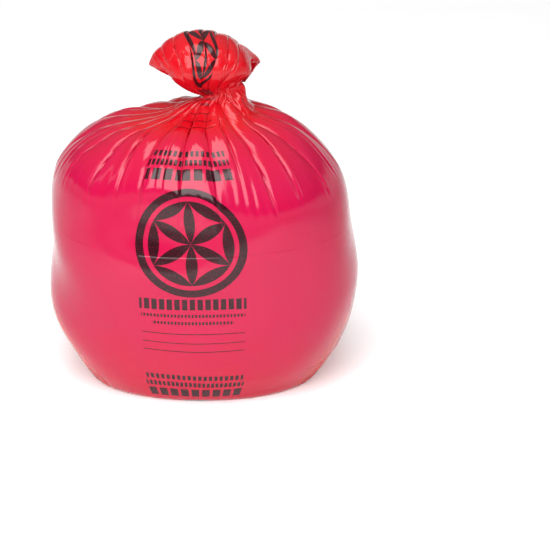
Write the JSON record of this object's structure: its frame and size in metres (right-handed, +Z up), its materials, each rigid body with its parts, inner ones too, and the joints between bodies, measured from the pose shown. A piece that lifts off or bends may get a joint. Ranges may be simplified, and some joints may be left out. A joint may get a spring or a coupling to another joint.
{
  "type": "bin liner",
  "caption": "Filled plastic film bin liner standing on its bottom, its neck gathered and its mouth folded over as a tuft.",
  "frame": {"origin": "centre of the filled bag on the floor under it", "axes": "+Z up through the neck, -Y out of the printed front, +X to the right seen from the front"},
  "size_m": [0.446, 0.326, 0.5273],
  "materials": {
    "film": "glossy translucent red film with a black print on its front"
  },
  "bodies": {
    "root": {"liner": "film"}
  },
  "joints": []
}
